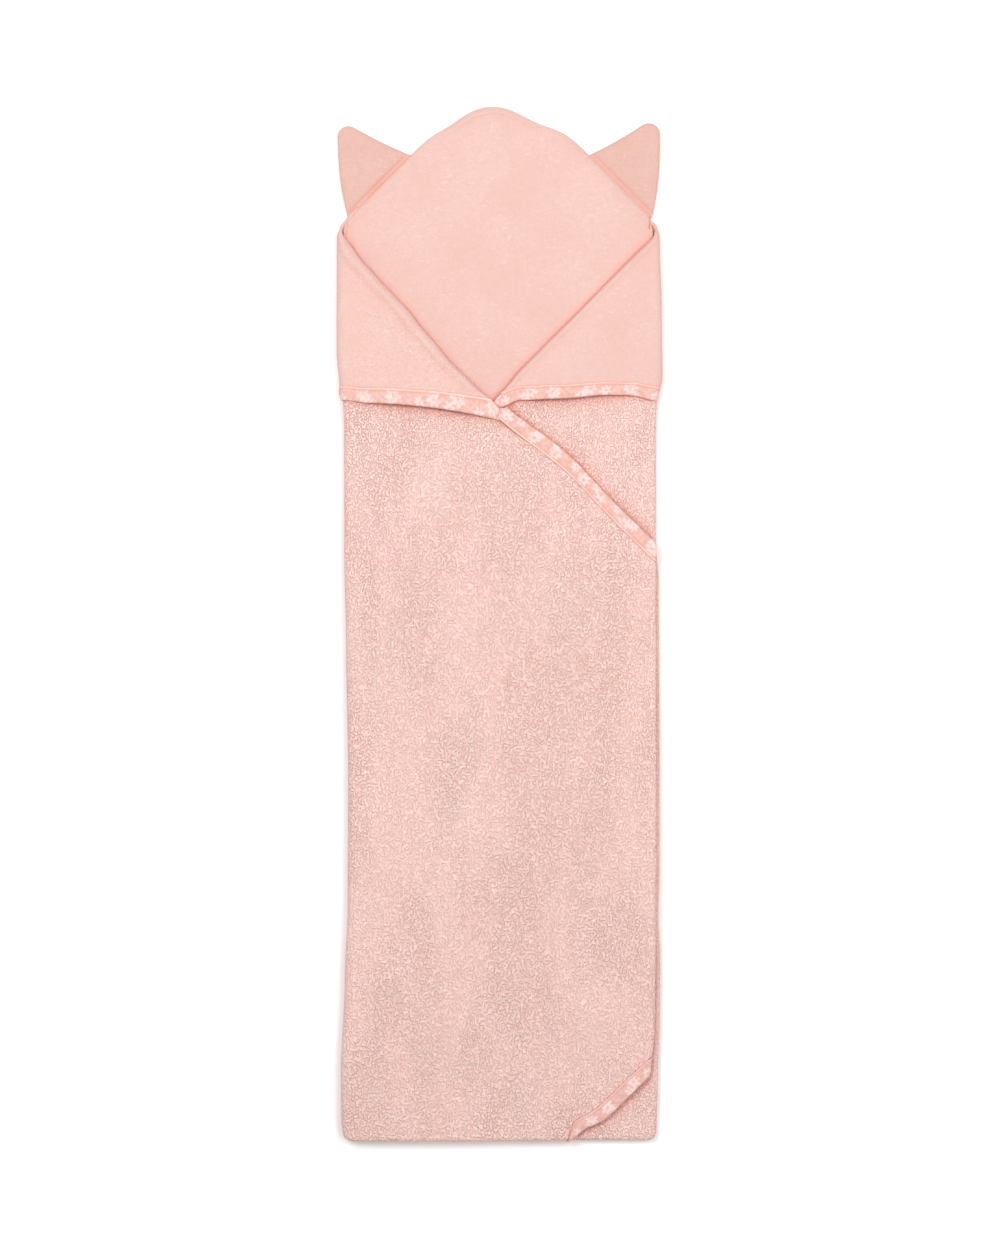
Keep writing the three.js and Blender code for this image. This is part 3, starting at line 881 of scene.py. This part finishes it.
def print_material():
    """Salmon tape printed with pale daisies, with painted shade in dashes along its sewn row and a light
    hem at its inner edge.
    """
    n = Nodes("binding")
    uv = n.node("ShaderNodeUVMap", uv_map="tape")
    split = n.node("ShaderNodeSeparateXYZ")
    n.put(split.inputs[0], uv.outputs[0])
    run = n.times(split.outputs[0], 1 / MM)
    across = n.times(split.outputs[1], 1 / MM)
    lanes = enumerate(FLOWER_LANES)
    flowers = [printed_flowers(n, run, across, lane, *measures) for lane, measures in lanes]
    worn = n.noise(3.0, 2.0)
    ground = n.mix(n.between(worn, 0.3, 0.7), (0.715, 0.41, 0.35, 1), (0.775, 0.50, 0.44, 1))
    share = n.times(n.math("MAXIMUM", *flowers), n.between(worn, 0.3, 0.6, 0.3, 0.85))
    colour = n.mix(share, ground, (0.86, 0.68, 0.66, 1))
    # Painted shade: dark dashes along the sewn row, where the stitches pull the tape down.
    seam = line_along(n, across, STITCH_INSET, 0.25, 0.75)
    sewn = n.math("SINE", n.times(run, 2 * math.pi / STITCH_PITCH))
    seam = n.times(seam, n.between(sewn, -0.3, 0.5, 0.35, 1.0))
    colour = n.mix(n.times(seam, 0.7), colour, (0.74, 0.34, 0.27, 1))
    hem = line_along(n, across, 0.6, 0.3, 1.0)
    colour = n.mix(n.times(hem, 0.55), colour, (0.93, 0.74, 0.69, 1))
    yarn_turn = 14.0
    warp, weft = [n.math("SINE", n.times(way, yarn_turn)) for way in (run, across)]
    weave = n.plus(n.times(n.plus(warp, weft), 0.12), n.times(worn, 0.7))
    return n.finish(colour, weave, 0.22, 0.85, 0.08)


def thread_material():
    n = Nodes("thread")
    twist = n.noise(0.6, 1.0, (1.0, 3.0, 1.0))
    colour = n.mix(n.between(twist, 0.3, 0.7), (0.84, 0.60, 0.54, 1), (0.93, 0.74, 0.68, 1))
    return n.finish(colour, twist, 0.1, 0.7, 0.1)


def floor_material():
    n = Nodes("floor")
    grain = n.noise(90.0, 2.0)
    colour = n.mix(n.between(grain, 0.3, 0.7), (0.96, 0.96, 0.96, 1), (0.98, 0.98, 0.98, 1))
    n.put(n.shader.inputs["Base Color"], colour)
    n.shader.inputs["Roughness"].default_value = 0.9
    return n.material


terry = terry_material()
knit = knit_material("knit", (0.700, 0.470, 0.423))
flap_knit = knit_material("flap_knit", (0.712, 0.480, 0.432), 1.3)
# Painted shade: the ears get a darker copy of the knit, for the shade that falls on them.
shaded_ear_knit = knit_material("shaded_ear_knit", (0.645, 0.412, 0.357))
printed = print_material()
thread = thread_material()

# --- camera and light


def add_camera():
    """Straight above the towel, seeing the height that the photo shows."""
    seen_height = 912.5
    towel_top = 12.0
    middle_y = -1.1
    data = bpy.data.cameras.new("camera")
    data.lens = 85.0
    data.sensor_width = 36.0
    camera = link_object("camera", data)
    distance = seen_height * data.lens / data.sensor_width
    camera.location = (0, middle_y * MM, (distance + towel_top) * MM)
    bpy.context.scene.camera = camera


def add_light(name, place, aim, size, power):
    """A round lamp at place, turned towards aim."""
    data = bpy.data.lights.new(name, "AREA")
    data.shape = "DISK"
    data.size = size
    data.energy = power
    lamp = link_object(name, data)
    lamp.location = place
    way = np.array(aim, float) - np.array(place, float)
    yaw = math.atan2(way[1], way[0])
    pitch = math.atan2(math.hypot(way[0], way[1]), -way[2])
    lamp.rotation_euler = (0, -pitch, yaw + math.pi)


def add_world():
    world = bpy.data.worlds.new("world")
    world.use_nodes = True
    background = world.node_tree.nodes["Background"]
    background.inputs["Color"].default_value = (1, 1, 1, 1)
    background.inputs["Strength"].default_value = 0.545
    bpy.context.scene.world = world


def add_floor():
    mesh = bpy.data.meshes.new("floor")
    reach = 6.0
    drop = -0.0004
    signs = [(-1, -1), (1, -1), (1, 1), (-1, 1)]
    corners = [(across * reach, along_y * reach, drop) for across, along_y in signs]
    mesh.from_pydata(corners, [], [(0, 1, 2, 3)])
    mesh.materials.append(floor_material())
    link_object("floor", mesh)


add_camera()
add_world()
add_floor()
add_light("key", (-0.70, 0.55, 2.0), (0, 0.1, 0), 0.85, 29.5)
add_light("fill", (0.85, 0.20, 1.95), (0, 0.05, 0), 1.3, 26.5)

# --- towel's cloth

SIDE_LOW_U = -16.0
# How much thinner the left sheets start, where the back's cloth lies beside them.
THINNER_START = 0.08


def left_body_cloth():
    """The towel's left side, with the fold round which it opens."""
    v = body_rows(LEFT_ROWS)
    low = np.where(v < BOTTOM_Y, -BEND_U, SIDE_LOW_U)
    columns = body_columns(SIDE_LOW_U + 2)
    made = body_cloth("left_side_cloth", left_body, v, low, columns, THINNER_START)
    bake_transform(made)
    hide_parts("left_fold_lower", "left_fold_upper", "left_panel", "left_tail", "left_turnup")
    return made


def root_cloth():
    """The towel's back and turned-up bottom, and its right side, round the right fold."""
    v = body_rows(BACK_ROWS)
    left_x = back_left_x(left_body, v)
    left_x = np.where(v < BOTTOM_Y, np.minimum(left_x, v - LOWEST_V), left_x)
    low = back_low_u(right_body, v, left_x)
    made = body_cloth("back_and_right_cloth", right_body, v, low, body_columns(BACK_LOW_U))
    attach(made, "towel")
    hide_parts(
        "back_panel", "bottom_turnup", "right_fold", "right_panel", "right_tail", "right_turnup"
    )
    return made


def hood_rows(top):
    return joined(
        top,
        spaced(top[-1], OPENING_Y + 16, FINE),
        spaced(OPENING_Y + 16, OPENING_Y + 8, 1.6),
        spaced(OPENING_Y + 8, OPENING_Y + 1.4, FINE),
        np.array([OPENING_Y + 0.7, OPENING_Y + 0.25, OPENING_Y]),
    )


def hood_columns(low):
    return joined(spaced(low, -BEND_U - 1, FINE), BEND_COLUMNS, spaced(BEND_U, 130, 1.8))


def left_flap_cloth():
    """The hood's left flap, with the fold round which it opens."""
    v = hood_rows(LEFT_ROWS)
    low = np.full_like(v, SIDE_LOW_U)
    columns = hood_columns(SIDE_LOW_U + 2)
    looks = [flap_knit, knit]
    made = hood_cloth("left_flap_cloth", left_hood, v, low, columns, looks, 9.0, 2.2, THINNER_START)
    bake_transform(made)
    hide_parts("left_hood_flap")
    return made


def root_hood_cloth():
    """The hood's cloth over the back, round the right fold, and its right flap."""
    v = hood_rows(BACK_ROWS)
    low = back_low_u(right_hood, v, back_left_x(left_hood, v))
    columns = hood_columns(BACK_LOW_U)
    looks = [knit, knit]
    made = hood_cloth("hood_and_right_flap_cloth", right_hood, v, low, columns, looks, 5.0, 1.2)
    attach(made, "towel")
    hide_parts("hood_back", "right_hood_flap")
    return made


left_cloth = left_body_cloth()
back_cloth = root_cloth()
left_flap = left_flap_cloth()
back_hood = root_hood_cloth()

# --- tapes and thread


# Each of these gives flat points along an edge, and the flat way inward from it.


def upper_edge(u_start, u_stop, step):
    """The towel's cut edge above its widest corner."""
    u = spaced(u_start, u_stop, step)
    return np.stack([u, SHOULDER_Y - u], -1), (-1 / ROOT2, -1 / ROOT2)


def lower_edge(u_start, u_stop, step):
    """The towel's cut edge below its widest corner."""
    u = spaced(u_start, u_stop, step)
    return np.stack([u, u + HALF_WIDTH + LOWEST_V], -1), (-1 / ROOT2, 1 / ROOT2)


def opening_edge(u_start, u_stop, step):
    """The hood's opening edge."""
    u = spaced(u_start, u_stop, step)
    return np.stack([u, np.full_like(u, OPENING_Y)], -1), (0.0, 1.0)


# Where tapes end: past the tail's fold, just short of the tip, and inside the turned-up bottom.
PAST_FOLD_U = TAIL_U + 12
LAST_U = TIP_U - 1
TURNED_UP_U = 164.0
# How far before the flap's seam the left upper tape starts.
TAPE_OVERLAP = 6.0


def over_flap(u):
    """How much higher the left tape runs where it starts, over the end of the flap's tape."""
    return 4.8 * (1 - smooth((u - 104) / 38.0))


def from_crossing(flat):
    """The tape's start, trimmed on a slant from the flap's lower edge up to the vee."""
    inset = (cut_u(flat[..., 1]) - flat[..., 0]) / ROOT2
    start_y = OPENING_Y + 3.0 - 6.5 * np.clip((inset / TAPE_WIDTH - 0.4) / 0.6, 0, 1)
    past = np.maximum(flat[..., 1] - start_y, 0)
    return flat + past[..., None] * np.array([1.0, -1.0])


def to_seam(fold):
    """A flap tape's end, trimmed along that flap's seam."""
    def trim(flat):
        past = np.maximum(flat[..., 0] - flap_cut_u(fold, flat[..., 1]), 0)
        return flat - past[..., None] * np.array([1.0, 0.0])
    return trim


def curled_under(u):
    """How much of the lower tape's width still shows; near the bottom the edge curls under."""
    return 0.12 + 0.88 * smooth((u - 172) / 14.0)


def add_tape(name, body, nodes, *measures, **shaping):
    """A tape that moves with a body, or, where body is None, stays baked in place along the left flap's
    bend.
    """
    made = tape(name, *measures, **shaping)
    if body is None:
        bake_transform(made)
    else:
        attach(made, body)
    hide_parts(*nodes)
    return made


def add_thread(name, body, node, *measures):
    """A row of stitches that moves with a body."""
    made = stitches(name, *measures)
    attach(made, body)
    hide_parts(node)
    return made


left_hidden = lower_edge(LAST_U, PAST_FOLD_U, 3.0)[0]
left_shown, lower_inward = lower_edge(PAST_FOLD_U, TURNED_UP_U, 0.6)
left_tapes = [
    add_tape("left_upper_tape", "left_wing", ["left_panel_upper_binding"],
             left_body, *upper_edge(CROSSING_U - TAPE_OVERLAP, PAST_FOLD_U, 0.6), 31,
             rise=over_flap, trim=from_crossing),
    add_tape("left_tail_tape", "left_wing", ["left_tail_binding"],
             left_body, *upper_edge(PAST_FOLD_U, LAST_U, 3.0), 32,
             run_start=(PAST_FOLD_U - CROSSING_U + TAPE_OVERLAP) * ROOT2),
    add_tape("left_lower_tape", "left_wing", ["left_panel_lower_binding"],
             left_body, np.vstack([left_hidden[:-1], left_shown]), lower_inward, 33,
             shown=curled_under),
    add_tape("left_inner_tape", "left_wing", ["left_turnup_binding"],
             left_body, *lower_edge(TURNED_UP_U, 12, 3.0), 34),
]
right_tapes = [
    add_tape("right_upper_tape", "towel", ["right_panel_upper_binding"],
             right_body, *upper_edge(112, PAST_FOLD_U, 1.5), 36),
    add_tape("right_tail_tape", "towel", ["right_tail_binding"],
             right_body, *upper_edge(PAST_FOLD_U, LAST_U, 3.0), 37),
    add_tape("right_lower_tape", "towel", ["right_panel_lower_binding"],
             right_body, *lower_edge(LAST_U, TURNED_UP_U, 1.5), 38),
    add_tape("right_inner_tape", "towel", ["right_turnup_binding", "bottom_turnup_binding"],
             right_body, *lower_edge(TURNED_UP_U, -110, 2.0), 39),
]
left_flap_tape = add_tape("left_flap_tape", None, ["left_hood_binding"],
                          left_hood, *opening_edge(-15, CROSSING_U, 0.6), 40, trim=to_seam(left_hood))
right_flap_tape = add_tape("right_flap_tape", "towel", ["hood_back_binding", "right_hood_binding"],
                           right_hood, *opening_edge(-225, CROSSING_U, 0.7), 41, trim=to_seam(right_hood))

# Only the rows of thread that show.
left_threads = [
    add_thread("left_upper_thread", "left_wing", "left_panel_upper_stitching",
               left_body, *upper_edge(146, TAIL_U - 4, 1.0)),
    add_thread("left_lower_thread", "left_wing", "left_panel_lower_stitching",
               left_body, *lower_edge(TAIL_U - 4, 194, 1.0)),
]
left_flap_thread = add_thread("left_flap_thread", "left_wing", "left_hood_stitching",
                              left_hood, *opening_edge(11, 108, 1.0))
right_flap_thread = add_thread("right_flap_thread", "towel", "right_hood_stitching",
                               right_hood, *opening_edge(0, 116, 1.0))

# --- ears

# In an ear's own plane: a runs along its seam and b out from it.
EAR_FROM_CORNER = 125.0
EAR_HALF_BASE = 32.5
EAR_ROOT = 6.0
EAR_TIPS = {"left_ear": (-12.4, 58.4), "right_ear": (-16.2, 58.8)}
EAR_TIP_RADIUS = 8.0
EAR_MIDDLE_Z = 2.35
EAR_RIM = 2.2
EAR_ROOT_HALF = 1.2


def ear_sides(b, tip):
    """Where the ear's two curved sides run at a height b above its seam."""
    tip = np.array(tip)
    feet = [np.array([-EAR_HALF_BASE, 0.0]), np.array([EAR_HALF_BASE, 0.0])]
    ways = [(tip - foot) / np.linalg.norm(tip - foot) for foot in feet]
    half_angle = math.acos(np.dot(ways[0], ways[1])) / 2
    middle = (ways[0] + ways[1]) / np.linalg.norm(ways[0] + ways[1])
    centre = tip - middle * EAR_TIP_RADIUS / math.sin(half_angle)
    sides = []
    for sign, foot, way, bulge in ((-1, feet[0], ways[0], 0.8), (1, feet[1], ways[1], 2.6)):
        touch = foot + way * np.dot(centre - foot, way)
        line = foot[0] + way[0] / way[1] * b
        line = line + bulge * np.sin(np.clip(b / touch[1], 0, 1) * math.pi)
        arc = centre[0] + sign * np.sqrt(np.clip(EAR_TIP_RADIUS**2 - (b - centre[1]) ** 2, 0, None))
        sides.append(np.where(b > touch[1], arc, line))
    return sides[0], sides[1], centre[1] + EAR_TIP_RADIUS


def ear(name, side, seed, nodes):
    """One lightly filled ear, sewn into the slanting edge of the hood."""
    tip = EAR_TIPS[name]
    top = ear_sides(np.zeros(1), tip)[2]
    b = joined(
        spaced(-EAR_ROOT, 8, 1.0),
        spaced(8, top - 8, 1.6),
        top - 8 * np.cos(np.linspace(0, math.pi / 2, 12)) * np.linspace(1, 0, 12) ** 0.6,
    )
    b = np.unique(np.clip(b, -EAR_ROOT, top - 0.02))
    first, last, _ = ear_sides(np.maximum(b, 0), tip)
    first = np.where(b < 0, first + 1.5, first)
    last = np.where(b < 0, last - 1.5, last)
    a = between(spaced(-EAR_HALF_BASE - 4, EAR_HALF_BASE + 4, 1.6), first, last)
    rows = np.broadcast_to(b[:, None], a.shape)
    to_side = np.minimum(a - first[:, None], last[:, None] - a) * 0.85
    to_rim = np.minimum(to_side, (top - rows) * 0.9)
    puff = 1.1 * smooth(to_rim / 14.0) * smooth(rows / 14.0)
    crease = 1.8 * bell(rows, 1.5, 1.8)
    seam_ridge = 0.35 * bell(to_rim, 4.2, 1.6) * smooth((rows - 5) / 4)
    rounding = rim(to_rim, EAR_RIM)
    over = (2.1 + puff + seam_ridge - crease) * rounding
    over = over + 0.25 * swell(a, rows, seed, 16) * smooth(to_rim / 6.0)
    over = np.where(rows < 0, EAR_ROOT_HALF * rounding, over)
    under = np.where(rows < 0, EAR_ROOT_HALF, 1.9) * rounding
    over[0] = over[-1] = under[0] = under[-1] = 0
    from_corner = EAR_FROM_CORNER / ROOT2
    seam = np.array([side * from_corner, CORNER_Y - from_corner])
    length_way = np.array([side, -1.0]) / ROOT2
    out_way = np.array([side, 1.0]) / ROOT2
    plan = seam + a[..., None] * length_way + rows[..., None] * out_way
    lift = 0.5 * smooth(rows / 30.0)
    middle = np.concatenate([plan, np.full_like(a, EAR_MIDDLE_Z)[..., None] + lift[..., None]], axis=-1)
    normal = np.zeros_like(middle)
    normal[..., 2] = 1.0
    made = thick_sheet(name, middle, normal, over, under, [shaded_ear_knit, shaded_ear_knit], flip=side > 0)
    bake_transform(made)
    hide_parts(*nodes)
    return made


ear("left_ear", -1, 51, ["left_ear_back", "left_ear_front"])
ear("right_ear", 1, 52, ["right_ear_back", "right_ear_front"])

# --- view transform

bpy.context.scene.view_settings.view_transform = "Standard"
